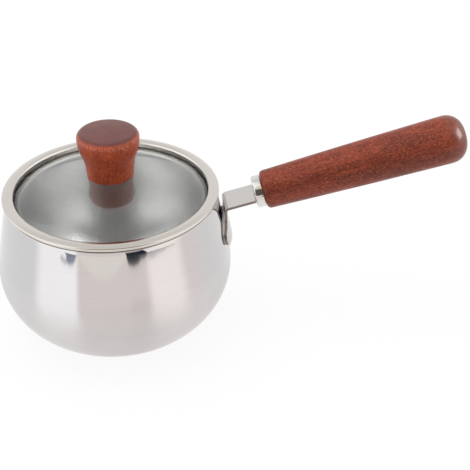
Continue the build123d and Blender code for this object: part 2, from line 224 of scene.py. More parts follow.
def turned(name, section, body, slot, finish, nodes, around, place=np.eye(4)):
    """A surface of revolution. Point (r, h) of the section and angle a give
    (r cos a, r sin a, h), set in place by a matrix. A section that starts and ends on
    the axis gets one point at each pole, and any other section is closed into a loop."""
    section = np.asarray(section, float)
    after = np.roll(section, -1, axis=0)
    if np.sum(section[:, 0] * after[:, 1] - after[:, 0] * section[:, 1]) < 0:
        section = section[::-1]
    poles = section[0, 0] < 1e-6 and section[-1, 0] < 1e-6
    rings = section[1:-1] if poles else section
    angle = np.linspace(0, 2 * np.pi, around, endpoint=False)
    points = np.stack(
        [
            rings[:, :1] * np.cos(angle),
            rings[:, :1] * np.sin(angle),
            np.broadcast_to(rings[:, 1:], (len(rings), around)),
        ],
        axis=-1,
    ).reshape(-1, 3)
    faces = grid_quads(len(rings), around, wrap_rows=not poles).tolist()
    if poles:
        last = (len(rings) - 1) * around
        low, high = len(points), len(points) + 1
        here = np.arange(around)
        beside = (here + 1) % around
        faces += np.column_stack([np.full(around, low), beside, here]).tolist()
        faces += np.column_stack([last + here, last + beside, np.full(around, high)]).tolist()
        ends = [[0, 0, section[0, 1]], [0, 0, section[-1, 1]]]
        points = np.concatenate([points, ends])
    points = points @ place[:3, :3].T + place[:3, 3]
    write_piece(name, points, faces, body, slot, finish, nodes)


def on_handle(along, up=0.0):
    """Point (x, z) at a distance along the handle's axis, and above it."""
    return np.array(
        [
            bend_reach + along * np.cos(rise) - up * np.sin(rise),
            axis_height + along * np.sin(rise) + up * np.cos(rise),
        ]
    )


def dome_height(radius, lift=0.0):
    """Height of the glass dome's top face, moved out by lift, at a radius."""
    return dome_centre + np.sqrt((dome_radius + lift) ** 2 - np.square(radius))


def dome_line(start, end, lift, steps):
    """The dome's section between two radii: (r, height of the dome at r)."""
    radius = np.linspace(start, end, steps + 1)
    return np.column_stack([radius, dome_height(radius, lift)])


# Node helpers: a node with its settings, values and links in one call


def fill(tree, made, inputs):
    """Sets a node's inputs: values, or sockets of other nodes to link from."""
    for key, value in inputs.items():
        if isinstance(value, bpy.types.NodeSocket):
            tree.links.new(value, made.inputs[key])
        else:
            made.inputs[key].default_value = value


def node(tree, kind, inputs=None, **settings):
    """A shader node with its settings and inputs."""
    made = tree.nodes.new("ShaderNode" + kind)
    for key, value in settings.items():
        setattr(made, key, value)
    fill(tree, made, inputs or {})
    return made


def maths(tree, operation, *values):
    """The result of a Math node."""
    made = node(tree, "Math", dict(enumerate(values)), operation=operation)
    return made.outputs[0]


def spread(tree, value, low, high, out_low=0.0, out_high=1.0):
    """A value's place between low and high, eased and drawn out to another range."""
    limits = {"From Min": low, "From Max": high, "To Min": out_low, "To Max": out_high}
    made = node(tree, "MapRange", {"Value": value, **limits}, interpolation_type="SMOOTHSTEP")
    return made.outputs["Result"]


def blended(tree, share, first, second, mode="MIX"):
    """Two colours mixed by a share."""
    made = node(tree, "Mix", data_type="RGBA", blend_type=mode)
    fill(tree, made, {0: share, 6: first, 7: second})
    return made.outputs[2]


def new_group(name, inputs, outputs):
    """An empty node group with named inputs and outputs."""
    group = bpy.data.node_groups.new(name, "ShaderNodeTree")
    for label, kind, value in inputs:
        socket = group.interface.new_socket(label, in_out="INPUT", socket_type="NodeSocket" + kind)
        if value is not None:
            socket.default_value = value
    for label, kind in outputs:
        group.interface.new_socket(label, in_out="OUTPUT", socket_type="NodeSocket" + kind)
    entry = group.nodes.new("NodeGroupInput")
    leave = group.nodes.new("NodeGroupOutput")
    return group, entry.outputs, leave.inputs


def placed(tree, group, values):
    """A group set into a material with its own values."""
    made = node(tree, "Group", node_tree=group)
    fill(tree, made, values)
    return made.outputs


def turned_grain_group():
    """Fine grooves left by polishing a turned piece on a lathe: noise that changes fast
    along radius and height, and slowly round the axis (here Z of the Vector)."""
    group, entry, leave = new_group(
        "turned_grain",
        [
            ("Vector", "Vector", None),
            ("Lines per metre", "Float", None),
            ("Lengthwise", "Float", None),
            ("Tone", "Float", None),
            ("Roughness", "Float", None),
            ("Roughness change", "Float", None),
        ],
        [("Tint", "Color"), ("Roughness", "Float"), ("Height", "Float")],
    )
    parts = node(group, "SeparateXYZ", {"Vector": entry["Vector"]}).outputs
    radius = maths(group, "SQRT", maths(
        group, "ADD",
        maths(group, "MULTIPLY", parts["X"], parts["X"]),
        maths(group, "MULTIPLY", parts["Y"], parts["Y"]),
    ))
    across = maths(group, "MULTIPLY", parts["Z"], entry["Lines per metre"])
    outward = maths(group, "MULTIPLY", radius, entry["Lines per metre"])
    flat = node(group, "CombineXYZ", {
        "X": maths(group, "MULTIPLY", parts["X"], entry["Lengthwise"]),
        "Y": maths(group, "MULTIPLY", parts["Y"], entry["Lengthwise"]),
        "Z": across,
    }).outputs[0]
    fine = node(
        group, "TexNoise", {"Vector": flat, "W": outward, "Scale": 1.0, "Detail": 2.0},
        noise_dimensions="4D",
    ).outputs["Fac"]
    drawn_out = 12.0
    slow = node(group, "CombineXYZ", {
        "X": parts["X"], "Y": parts["Y"], "Z": maths(group, "MULTIPLY", parts["Z"], drawn_out),
    }).outputs[0]
    broad = node(
        group, "TexNoise",
        {"Vector": slow, "W": maths(group, "MULTIPLY", radius, drawn_out), "Scale": 26.0, "Detail": 3.0},
        noise_dimensions="4D",
    ).outputs["Fac"]
    both = maths(group, "ADD", maths(group, "MULTIPLY", fine, 0.65), maths(group, "MULTIPLY", broad, 0.35))
    centred = maths(group, "SUBTRACT", both, 0.5)

    def swing(middle, amount):
        """A value that the noise moves up and down about its middle."""
        wide = maths(group, "MULTIPLY", amount, 4.0)
        return maths(group, "ADD", middle, maths(group, "MULTIPLY", centred, wide))

    tone = swing(1.0, entry["Tone"])
    group.links.new(
        node(group, "CombineColor", {"Red": tone, "Green": tone, "Blue": tone}).outputs[0], leave["Tint"]
    )
    rough = swing(entry["Roughness"], entry["Roughness change"])
    group.links.new(rough, leave["Roughness"])
    group.links.new(fine, leave["Height"])
    return group


def handling_group():
    """Marks of use: soft smudges and a few hair-thin scratches, as masks from 0 to 1. The
    scratches are the edges of cells in wandering coordinates, kept only in sparse places."""
    group, entry, leave = new_group(
        "handling_marks",
        [("Vector", "Vector", None), ("Smudge size", "Float", 22.0), ("Scratch size", "Float", 60.0)],
        [("Smudge", "Float"), ("Scratch", "Float")],
    )
    cloud = node(group, "TexNoise", {
        "Vector": entry["Vector"], "Scale": entry["Smudge size"], "Detail": 4.0, "Roughness": 0.55,
    }).outputs["Fac"]
    group.links.new(spread(group, cloud, 0.42, 0.72), leave["Smudge"])
    bent = node(group, "TexNoise", {
        "Vector": entry["Vector"], "Scale": maths(group, "MULTIPLY", entry["Scratch size"], 0.4),
    }).outputs["Color"]
    shift = node(group, "VectorMath", {0: bent, "Scale": 0.02}, operation="SCALE").outputs[0]
    wander = node(group, "VectorMath", {0: entry["Vector"], 1: shift}, operation="ADD").outputs[0]
    cells = node(
        group, "TexVoronoi", {"Vector": wander, "Scale": entry["Scratch size"]},
        feature="DISTANCE_TO_EDGE",
    ).outputs["Distance"]
    thin = spread(group, cells, 0.0, 0.012, 1.0, 0.0)
    sparse = node(group, "TexNoise", {
        "Vector": entry["Vector"], "Scale": maths(group, "MULTIPLY", entry["Scratch size"], 1.3),
    }).outputs["Fac"]
    group.links.new(maths(group, "MULTIPLY", thin, spread(group, sparse, 0.58, 0.68)), leave["Scratch"])
    return group


def wood_group():
    """Figured red-brown wood with its grain along X of the Vector: broad darker stripes,
    narrow bands, short light flecks and short dark pores, all drawn out along the grain.
    Each noise's scale is in its waves per metre across the grain, times the fineness."""
    group, entry, leave = new_group(
        "wood_figure",
        [
            ("Vector", "Vector", None),
            ("Ground", "Color", None),
            ("Dark band", "Color", None),
            ("Light fleck", "Color", None),
            ("Pore", "Color", None),
            ("Fineness", "Float", None),
            ("Stretch", "Float", None),
            ("Roughness", "Float", None),
        ],
        [("Color", "Color"), ("Roughness", "Float"), ("Height", "Float")],
    )
    parts = node(group, "SeparateXYZ", {"Vector": entry["Vector"]}).outputs
    drawn = node(group, "CombineXYZ", {
        "X": maths(group, "DIVIDE", parts["X"], entry["Stretch"]), "Y": parts["Y"], "Z": parts["Z"],
    }).outputs[0]

    def noise(vector, scale, **settings):
        """A noise that gets finer with the fineness. Its settings are named like its inputs."""
        values = {"Vector": vector, "Scale": maths(group, "MULTIPLY", entry["Fineness"], scale)}
        values.update((key.capitalize(), value) for key, value in settings.items())
        return node(group, "TexNoise", values).outputs["Fac"]

    elsewhere = (0.31, 0.17, 0.23)
    shifted = node(group, "VectorMath", {0: drawn, 1: elsewhere}, operation="ADD").outputs[0]
    stripes = noise(drawn, 78.0, detail=1.0, distortion=0.8)
    bands = noise(drawn, 330.0, detail=3.0, roughness=0.55, distortion=0.6)
    flecks = noise(drawn, 1750.0, detail=2.0, roughness=0.6)
    pores = noise(shifted, 1500.0, detail=2.0, roughness=0.5)
    stripe = spread(group, stripes, 0.46, 0.58)
    colour = blended(group, maths(group, "MULTIPLY", stripe, 0.5), entry["Ground"], entry["Dark band"])
    band = spread(group, bands, 0.42, 0.62)
    colour = blended(group, maths(group, "MULTIPLY", band, 0.5), colour, entry["Dark band"])
    fleck = spread(group, flecks, 0.5, 0.64)
    colour = blended(group, maths(group, "MULTIPLY", fleck, 0.6), colour, entry["Light fleck"])
    pore = spread(group, pores, 0.53, 0.63)
    colour = blended(group, maths(group, "MULTIPLY", pore, 0.55), colour, entry["Pore"])
    group.links.new(colour, leave["Color"])
    group.links.new(
        maths(group, "ADD", entry["Roughness"], maths(group, "MULTIPLY", pore, 0.2)), leave["Roughness"]
    )
    group.links.new(maths(group, "SUBTRACT", maths(group, "MULTIPLY", flecks, 0.4), pore), leave["Height"])
    return group


turned_grain = turned_grain_group()
handling_marks = handling_group()
wood_figure = wood_group()


def new_material(name):
    """A material with its shader, and the piece's Object coordinates."""
    material = bpy.data.materials.new(name)
    material.use_nodes = True
    tree = material.node_tree
    shader = tree.nodes["Principled BSDF"]
    where = node(tree, "TexCoord").outputs["Object"]
    return material, tree, shader, where


def about_handle(tree, where):
    """Object coordinates turned so that the handle's axis is their Z axis, from the bend."""
    shifted = node(
        tree, "VectorMath",
        {0: where, 1: (bend_reach * MM, 0, axis_height * MM)}, operation="SUBTRACT",
    ).outputs[0]
    return node(
        tree, "Mapping", {"Vector": shifted, "Rotation": (0, rise - np.pi / 2, 0)}, vector_type="POINT"
    ).outputs[0]


def steel(
    name, colour, roughness, lines=2400.0, lengthwise=9.0, tone=0.05, change=0.05, along_handle=False,
    anisotropic=0.0, polished_between=None, inside=None, cut_edges_and_shade=None, bump=0.02,
):
    """Metal turned or polished on a lathe: fine grooves round the axis, smudges and
    scratches. Between the first two numbers of polished_between, which are heights, its
    roughness goes down to the share that is the third. The inside of the bowl, whose faces
    look towards a point on the axis, has its own colour and roughness. Cut edges, which face
    sideways everywhere and up or down on the bracket's plate, are duller and darker: partly
    the sheared edge's own colour, partly painted shade for the dark they mirror."""
    material, tree, shader, where = new_material(name)
    vector = about_handle(tree, where) if along_handle else where
    grain = placed(tree, turned_grain, {
        "Vector": vector, "Lines per metre": lines, "Lengthwise": lengthwise, "Tone": tone,
        "Roughness": roughness, "Roughness change": change,
    })
    marks = placed(tree, handling_marks, {"Vector": where})
    tint = blended(tree, 1.0, colour, grain["Tint"], "MULTIPLY")
    rough = maths(tree, "ADD", grain["Roughness"], maths(tree, "MULTIPLY", marks["Smudge"], 0.05))
    rough = maths(tree, "ADD", rough, maths(tree, "MULTIPLY", marks["Scratch"], 0.12))
    height = node(tree, "SeparateXYZ", {"Vector": where}).outputs["Z"]
    normal = node(tree, "TexCoord").outputs["Normal"]
    if polished_between:
        low, high, share = polished_between
        rough = maths(tree, "MULTIPLY", rough, spread(tree, height, low * MM, high * MM, 1.0, share))
    if inside:
        inner_colour, inner_roughness = inside
        outward = node(
            tree, "VectorMath", {0: where, 1: (0, 0, bowl_middle * MM)}, operation="SUBTRACT"
        ).outputs[0]
        facing_out = node(
            tree, "VectorMath", {0: normal, 1: outward}, operation="DOT_PRODUCT"
        ).outputs["Value"]
        inner = spread(tree, facing_out, -MM, MM, 1.0, 0.0)
        tint = blended(tree, inner, tint, blended(tree, 1.0, inner_colour, grain["Tint"], "MULTIPLY"))
        rough = maths(
            tree, "ADD", maths(tree, "MULTIPLY", rough, maths(tree, "SUBTRACT", 1.0, inner)),
            maths(tree, "MULTIPLY", inner, inner_roughness),
        )
    # Cut edges: duller, and darker partly by their own colour and partly by painted shade for the dark they
    # mirror
    if cut_edges_and_shade:
        facing = node(tree, "SeparateXYZ", {"Vector": normal}).outputs
        sideways = spread(tree, maths(tree, "ABSOLUTE", facing["Y"]), 0.72, 0.9)
        up_or_down = spread(tree, maths(tree, "ABSOLUTE", facing["X"]), 0.3, 0.6, 1.0, 0.0)
        plate_low, plate_high = plate_edge_end
        on_plate = spread(tree, height, plate_low * MM, plate_high * MM, 1.0, 0.0)
        edge_and_shade = maths(tree, "MAXIMUM", sideways, maths(tree, "MULTIPLY", up_or_down, on_plate))
        tint = blended(tree, edge_and_shade, tint, cut_edges_and_shade)
        rough = maths(tree, "ADD", rough, maths(tree, "MULTIPLY", edge_and_shade, 0.2))
    tree.links.new(tint, shader.inputs["Base Color"])
    tree.links.new(rough, shader.inputs["Roughness"])
    shader.inputs["Metallic"].default_value = 1.0
    shader.inputs["Anisotropic"].default_value = anisotropic
    if anisotropic:
        shader.inputs["Anisotropic Rotation"].default_value = 0.25
        tangent = node(tree, "Tangent", direction_type="RADIAL", axis="Z")
        tree.links.new(tangent.outputs[0], shader.inputs["Tangent"])
    grooves = node(tree, "Bump", {"Height": grain["Height"], "Strength": bump, "Distance": 0.0002})
    tree.links.new(grooves.outputs[0], shader.inputs["Normal"])
    return material


def wood(
    name, ground, band, fleck, pore, along_handle, stretch, roughness, end_grain_and_shade, end_between,
    end_share, end_coat, pale_between=None,
):
    """Oiled turned wood. Its grain runs along the handle or up the knob. Between the two
    distances of end_between, up that axis, the end grain sets in, which takes more stain
    and polish; its darker colour there is partly that and partly painted shade. Between the
    three heights of pale_between, the stain comes and goes thin in upright streaks, as on
    a turned edge, and their paler colour is partly a painted sheen."""
    material, tree, shader, where = new_material(name)
    turn = (0, rise, 0) if along_handle else (0, np.pi / 2, 0)
    fineness = 1.45
    grain = node(tree, "Mapping", {"Vector": where, "Rotation": turn}, vector_type="POINT").outputs[0]
    figure = placed(tree, wood_figure, {
        "Vector": grain, "Ground": ground, "Dark band": band, "Light fleck": fleck, "Pore": pore,
        "Stretch": stretch, "Fineness": fineness, "Roughness": roughness,
    })
    marks = placed(tree, handling_marks, {"Vector": where, "Smudge size": 60.0})
    colour = blended(tree, maths(tree, "MULTIPLY", marks["Smudge"], 0.2), figure["Color"], band)
    upward = about_handle(tree, where) if along_handle else where
    height = node(tree, "SeparateXYZ", {"Vector": upward}).outputs["Z"]
    if pale_between:
        low, middle, high = (part * MM for part in pale_between)
        coming, going = spread(tree, height, low, middle), spread(tree, height, middle, high, 1.0, 0.0)
        # Paler streaked colour under the knob's edge: partly thin stain, partly painted sheen
        thin_stain_and_sheen = (0.50, 0.17, 0.115, 1)
        upright = node(tree, "Mapping", {"Vector": where, "Scale": (1.0, 1.0, 0.12)}).outputs[0]
        streaks = node(tree, "TexNoise", {"Vector": upright, "Scale": 1150.0, "Detail": 2.0}).outputs["Fac"]
        pale = maths(
            tree, "MULTIPLY", maths(tree, "MULTIPLY", coming, going),
            spread(tree, streaks, 0.46, 0.64, 0.05, 0.85),
        )
        colour = blended(tree, pale, colour, thin_stain_and_sheen)
    # Darker colour at the end: partly end grain, partly painted shade
    end = spread(tree, height, end_between[0] * MM, end_between[1] * MM)
    colour = blended(tree, maths(tree, "MULTIPLY", end, end_share), colour, end_grain_and_shade)
    tree.links.new(colour, shader.inputs["Base Color"])
    rough = maths(tree, "ADD", figure["Roughness"], maths(tree, "MULTIPLY", marks["Smudge"], 0.08))
    tree.links.new(rough, shader.inputs["Roughness"])
    coat = maths(tree, "ADD", 0.06, maths(tree, "MULTIPLY", end, end_coat))
    tree.links.new(coat, shader.inputs["Coat Weight"])
    shader.inputs["Specular IOR Level"].default_value = 0.22
    shader.inputs["Coat Roughness"].default_value = 0.16
    relief = node(tree, "Bump", {"Height": figure["Height"], "Strength": 0.12, "Distance": 0.0003})
    tree.links.new(relief.outputs[0], shader.inputs["Normal"])
    return material


def rubber(name, colour):
    """Matt silicone, a little mottled and dusty."""
    material, tree, shader, where = new_material(name)
    marks = placed(tree, handling_marks, {"Vector": where, "Smudge size": 180.0})
    dusty = tuple(min(1.0, part * 1.25 + 0.02) for part in colour[:3]) + (1,)
    tree.links.new(blended(tree, marks["Smudge"], colour, dusty), shader.inputs["Base Color"])
    tree.links.new(
        maths(tree, "ADD", 0.55, maths(tree, "MULTIPLY", marks["Smudge"], 0.2)), shader.inputs["Roughness"]
    )
    return material


def lid_glass_material():
    """Clear tempered glass, faintly green, with a few smudges that blur it. It mirrors
    more than plain glass, as the photo shows the knob strongly in it."""
    material, tree, shader, where = new_material("clear_glass")
    marks = placed(tree, handling_marks, {"Vector": where, "Smudge size": 30.0, "Scratch size": 40.0})
    clean, smudged = (0.945, 0.965, 0.955, 1), (0.93, 0.95, 0.94, 1)
    tint = blended(tree, marks["Smudge"], clean, smudged)
    tree.links.new(tint, shader.inputs["Base Color"])
    rough = maths(tree, "MULTIPLY", marks["Smudge"], 0.015)
    rough = maths(tree, "ADD", rough, maths(tree, "MULTIPLY", marks["Scratch"], 0.05))
    tree.links.new(rough, shader.inputs["Roughness"])
    shader.inputs["Transmission Weight"].default_value = 1.0
    shader.inputs["IOR"].default_value = 1.95
    return material


pan_steel = steel(
    "pan_steel", (0.64, 0.62, 0.615, 1), 0.3, lengthwise=40.0, tone=0.03, change=0.04,
    anisotropic=0.95, polished_between=(38.0, 74.0, 0.13), inside=((0.87, 0.86, 0.85, 1), 0.225),
    bump=0.004,
)
ring_steel = steel("ring_steel", (0.655, 0.62, 0.575, 1), 0.2, lines=3000.0, tone=0.03)
# The darker colour of its cut edges is partly painted shade
bracket_steel = steel(
    "bracket_steel", (0.60, 0.575, 0.56, 1), 0.2, lines=3000.0, tone=0.03,
    cut_edges_and_shade=(0.24, 0.20, 0.18, 1), bump=0.0,
)
ferrule_steel = steel(
    "ferrule_steel", (0.70, 0.68, 0.66, 1), 0.07, along_handle=True, tone=0.02, change=0.02,
)
hidden_steel = steel("turned_steel", (0.58, 0.57, 0.56, 1), 0.28)
insert_brass = steel("insert_brass", (0.72, 0.55, 0.25, 1), 0.3)
silicone = rubber("grey_silicone", (0.55, 0.55, 0.54, 1))
seal_silicone = rubber("seal_silicone", (0.22, 0.22, 0.21, 1))
clear_glass = lid_glass_material()
# Its darker round end is partly end grain and partly painted shade
grip_wood = wood(
    "grip_wood",
    ground=(0.255, 0.040, 0.018, 1), band=(0.085, 0.013, 0.008, 1),
    fleck=(0.45, 0.135, 0.060, 1), pore=(0.055, 0.010, 0.007, 1),
    along_handle=True, stretch=4.5, roughness=0.42,
    end_grain_and_shade=(0.17, 0.040, 0.022, 1), end_between=(147.0, 155.0), end_share=0.4, end_coat=0.35,
)
# Its darker, greyer top is partly end grain and partly painted shade
knob_wood = wood(
    "knob_wood",
    ground=(0.40, 0.063, 0.020, 1), band=(0.23, 0.030, 0.010, 1),
    fleck=(0.66, 0.18, 0.08, 1), pore=(0.11, 0.016, 0.008, 1),
    along_handle=False, stretch=4.0, roughness=0.40,
    end_grain_and_shade=(0.056, 0.026, 0.029, 1), end_between=(139.6, 141.1), end_share=0.78, end_coat=0.3,
    # Paler streaked band under the edge: partly thin stain, partly painted sheen
    pale_between=(136.4, 138.6, 141.2),
)


def pan_section():
    """The bowl's wall as one loop: flat base, two arcs, the belly's arc and the straight
    shoulder outside, and the same line one wall further in."""
    reach = belly_radius - base_radius
    divisor = np.cos(bowl_turn) + np.sin(bowl_turn) - 1
    bowl_bend = (belly_height * np.cos(bowl_turn) - reach * (1 - np.sin(bowl_turn))) / divisor
    base_bend = (reach * np.sin(bowl_turn) - belly_height * (1 - np.cos(bowl_turn))) / divisor

    def side(inset):
        return np.concatenate(
            [
                round_arc((base_radius, base_bend), base_bend - inset, -np.pi / 2, -bowl_turn, 26),
                round_arc(
                    (belly_radius - bowl_bend, belly_height), bowl_bend - inset, -bowl_turn, 0, 26
                )[1:],
                round_arc((belly_radius - belly_bend, belly_height), belly_bend - inset, 0, lean, 10)[1:],
            ]
        )

    outer, inner = side(0), side(pan_wall)
    rim_inner_radius = neck_radius - pan_wall / np.cos(lean)
    rim = bent_line(
        [outer[-1], (neck_radius, rim_height), (rim_inner_radius, rim_height), inner[-1]],
        [rim_rounding, rim_rounding], 5,
    )
    rim = close_runs(rim, 3.0)
    return np.concatenate(
        [
            close_runs(np.array([(0, 0), outer[0]]), 4.0), outer[1:], rim[1:-1],
            inner[::-1], close_runs(np.array([inner[0], (0, pan_wall)]), 4.0)[1:],
        ]
    )


turned("pan_body_shell", pan_section(), "pan", "pan_steel", pan_steel, ["pan_body"], around=256)


def glass_section():
    """The glass's section: dome over, ground outer edge, dome under, edge of the hole."""
    over = dome_line(glass_hole, glass_radius, 0, 60)
    under = dome_line(glass_hole, glass_radius, -glass_thickness, 60)
    outer_edge = bent_line([over[-2], over[-1], under[-1], under[-2]], [glass_edge_rounding] * 2, 5)
    inner_edge = bent_line([under[1], under[0], over[0], over[1]], [glass_hole_rounding] * 2, 4)
    return np.concatenate([over[2:-2], outer_edge, under[2:-2][::-1], inner_edge])


turned("lid_glass_dome", glass_section(), "lid", "lid_glass", clear_glass, ["lid_glass"], around=256)


def ring_section():
    """The strip's section: one bent middle line, half the sheet to each side of it, and
    round edges at its two ends."""
    half = ring_sheet / 2
    foot = ring_inner_radius + half
    seat = rim_height + half
    seal_bottom = dome_height(glass_radius, -glass_thickness - fit_gap) - seal_floor
    bottom = seal_bottom - fit_gap - half
    crown = (ring_inner_radius + ring_outer_radius) / 2
    outside = ring_outer_radius - half
    skirt = skirt_radius - half
    middle = bent_line(
        [
            (foot, dome_height(foot) + ring_sheet),
            (foot, ring_level + ring_inner_rise),
            (crown, ring_level + ring_crown_rise),
            (outside, ring_level + ring_outer_rise),
            (outside, ring_level + half),
            (ring_step_radius, ring_level + half),
            (ring_step_radius, seat),
            (skirt, seat),
            (skirt, bottom),
            (skirt - lip_length, bottom),
        ],
        ring_bends,
        10,
    )
    middle = close_runs(middle, 0.8)
    left, right = moved_line(middle, half), moved_line(middle, -half)
    angle = np.linspace(0, np.pi, 7)[1:-1, None]

    def end(line, point, sign):
        along = (line[0] - line[1]) / np.linalg.norm(line[0] - line[1])
        across = np.array([-along[1], along[0]])
        return point + half * (np.cos(angle) * across * sign + np.sin(angle) * along * ring_end_bulge)

    return np.concatenate(
        [left, end(middle[::-1], middle[-1], -1), right[::-1], end(middle, middle[0], -1)]
    )


turned("lid_ring_strip", ring_section(), "lid", "ring_steel", ring_steel, ["lid_ring"], around=256)


def knob_section():
    """The knob's section: a foot that follows the dome, a side that is a cubic curve, a
    rounded edge and a domed top, with the recess and bore for its fixing underneath. The
    curve is the sum of its ends and pulls, weighted by (1-t)^3, 3t(1-t)^2, 3t^2(1-t), t^3."""
    shortest_run = 0.2
    foot = dome_height(knob_foot_radius, fit_gap)
    head = foot + knob_head_height
    dome = (knob_head_radius**2 + knob_dome_rise**2) / (2 * knob_dome_rise)
    ends_and_pulls = np.array(
        [(knob_foot_radius, 0), knob_lower_pull, knob_upper_pull, (knob_head_radius, knob_side_height)]
    )
    share = np.linspace(0, 1, 61)[:, None]
    weights = np.hstack(
        [(1 - share) ** 3, 3 * share * (1 - share) ** 2, 3 * share**2 * (1 - share), share**3]
    )
    side = weights @ ends_and_pulls + (0, foot)
    reach = np.arcsin(knob_head_radius / dome)
    top = round_arc((0, head + knob_dome_rise - dome), dome, np.pi / 2 - reach, np.pi / 2, 40)
    edge = bent_line([side[-1], (knob_head_radius, head), top[10]], [knob_edge_rounding], 12)[1:-1]
    top = top[top[:, 0] < edge[-1, 0] - shortest_run]
    floor = dome_height(0) + knob_recess_depth + fit_gap
    under = bent_line(
        [
            (0, floor + knob_bore_depth),
            (knob_bore_radius, floor + knob_bore_depth),
            (knob_bore_radius, floor),
            (knob_recess_radius, floor),
            (knob_recess_radius, dome_height(knob_recess_radius, fit_gap)),
            (knob_foot_radius, foot),
            side[2],
        ],
        knob_under_bends, 4,
    )[:-1]
    return np.concatenate([under, side[2:], edge, top])


turned("lid_knob_turned", knob_section(), "lid", "knob_wood", knob_wood, ["lid_knob"], around=160)

# The handle's axis as the Z axis of turned pieces: columns are their X, Y and Z
handle_place = np.eye(4)
handle_place[:3, :3] = np.array(
    [[0, 1, 0], [-np.sin(rise), 0, np.cos(rise)], [np.cos(rise), 0, np.sin(rise)]]
).T
handle_place[:3, 3] = (bend_reach, 0, axis_height)


def ferrule_section():
    """A cup's section: front with a rounded edge, straight side, rim and a hollow back."""
    bore = ferrule_radius - ferrule_side_wall
    return bent_line(
        [
            (0, ferrule_start), (ferrule_radius, ferrule_start), (ferrule_radius, ferrule_end),
            (bore, ferrule_end), (bore, ferrule_start + ferrule_front_wall),
            (0, ferrule_start + ferrule_front_wall),
        ],
        ferrule_bends, 6,
    )


turned(
    "handle_ferrule_cup", close_runs(ferrule_section(), 1.5), "pan", "ferrule_steel", ferrule_steel,
    ["handle_ferrule"], around=128, place=handle_place,
)


def grip_section():
    """The grip's section: front face, rounded front edge, swelling side and round end."""
    side = arc_through(
        (grip_start_radius, grip_start), (grip_middle_radius, grip_middle),
        (grip_end_radius, grip_end), 90,
    )
    run = (side[-1] - side[-2]) / np.linalg.norm(side[-1] - side[-2])
    inward = np.array([-run[1], run[0]])
    centre = side[-1] + grip_end_rounding * inward
    start = np.arctan2(*(-inward)[::-1])
    end = round_arc(centre, grip_end_rounding, start, start + np.pi / 2, 28)
    front = bent_line(
        [(0, grip_start), (grip_start_radius, grip_start), side[4]], [grip_front_rounding], 8
    )[:-1]
    return np.concatenate([front, side[4:], end[1:], [(0, end[-1, 1])]])


turned(
    "handle_grip_turned", grip_section(), "pan", "grip_wood", grip_wood, ["handle_grip"],
    around=128, place=handle_place,
)


def bracket_half_width(height):
    """Half width of the sheet at a height: a spade with rounded lower corners, a straight
    side and shoulders that are rounded into the neck, which goes on at one width."""
    outline = bent_line(
        [
            (0, plate_bottom), (plate_width / 2, plate_bottom), (plate_width / 2, plate_shoulder),
            (neck_width / 2, plate_neck), (neck_width / 2, axis_height),
        ],
        [plate_corner, shoulder_corner, neck_corner], 12,
    )
    return np.interp(height, outline[1:, 1], outline[1:, 0])


def round_edge(distance):
    """Half thickness of the sheet at a distance from its edge, as a share of the full one.
    Over the edge's rounding it follows a quarter of a circle."""
    short = 1 - np.clip(distance / bracket_edge, 0, 1)
    return 1 - bracket_edge / (bracket_sheet / 2) * (1 - np.sqrt(1 - short**2))


def bracket_path():
    """The sheet's middle line in the XZ plane: up the plate, on to the bend, round it and
    out along the neck. With its points go the angle below +X at which the outer face looks
    out, the thickness that way, and the share of the plate's bow, which fades to none above
    the plate. The plate leans with the bowl, so it is thicker when measured level."""
    foot_height = 1.2
    neck_start = 4.2
    level = bracket_sheet / np.cos(lean)
    half_plate = plate_width / 2

    def plate_edge(height):
        cone = neck_radius + (rim_height - height) * np.tan(lean)
        return np.sqrt(cone**2 - half_plate**2) + fit_gap

    plate_slope = (plate_edge(plate_bottom) - plate_edge(plate_shoulder)) / (plate_shoulder - plate_bottom)
    edge_rise = plate_curve - np.sqrt(plate_curve**2 - half_plate**2)
    low = np.concatenate(
        [
            plate_bottom + foot_height * (1 - np.cos(np.linspace(0, np.pi / 2, 9))),
            np.linspace(plate_bottom + foot_height, plate_neck, 60)[1:],
        ]
    )
    reach = plate_edge(plate_bottom) - plate_slope * (low - plate_bottom) + edge_rise + level / 2

    upper_bend = bracket_bend + bracket_sheet
    corner = on_handle(neck_top * np.tan(rise), neck_top)
    bend_low = corner[1] - upper_bend * np.tan(np.pi / 4 - rise / 2)
    bend_start = bend_low - bracket_sheet / 4
    rising = np.linspace(plate_neck, bend_start, 12)[1:]
    share = (rising - plate_neck) / (bend_start - plate_neck)
    reach_up = reach[-1] + (bend_reach + bracket_sheet / 2 - reach[-1]) * share
    thinning = np.linspace(level, bracket_sheet, len(rising))

    centre = np.array([bend_reach + upper_bend, bend_low])
    turn = np.linspace(0, np.pi / 2 - rise, 18)
    bend = centre + (upper_bend - bracket_sheet / 2) * np.column_stack([-np.cos(turn), np.sin(turn)])
    alongs = np.linspace(neck_start, ferrule_start - fit_gap, 24)
    out = np.array([on_handle(along, neck_top - bracket_sheet / 2) for along in alongs])

    stretches = [
        (np.column_stack([reach, low]), 0.0, level, 1.0),
        (np.column_stack([reach_up, rising]), 0.0, thinning, 1 - share),
        (bend, turn, bracket_sheet, 0.0),
        (out, turn[-1], bracket_sheet, 0.0),
    ]
    path = np.concatenate([stretch[0] for stretch in stretches])
    facing, thick, bow = (
        np.concatenate([np.broadcast_to(stretch[column], len(stretch[0])) for stretch in stretches])
        for column in (1, 2, 3)
    )
    return path, facing, thick, bow


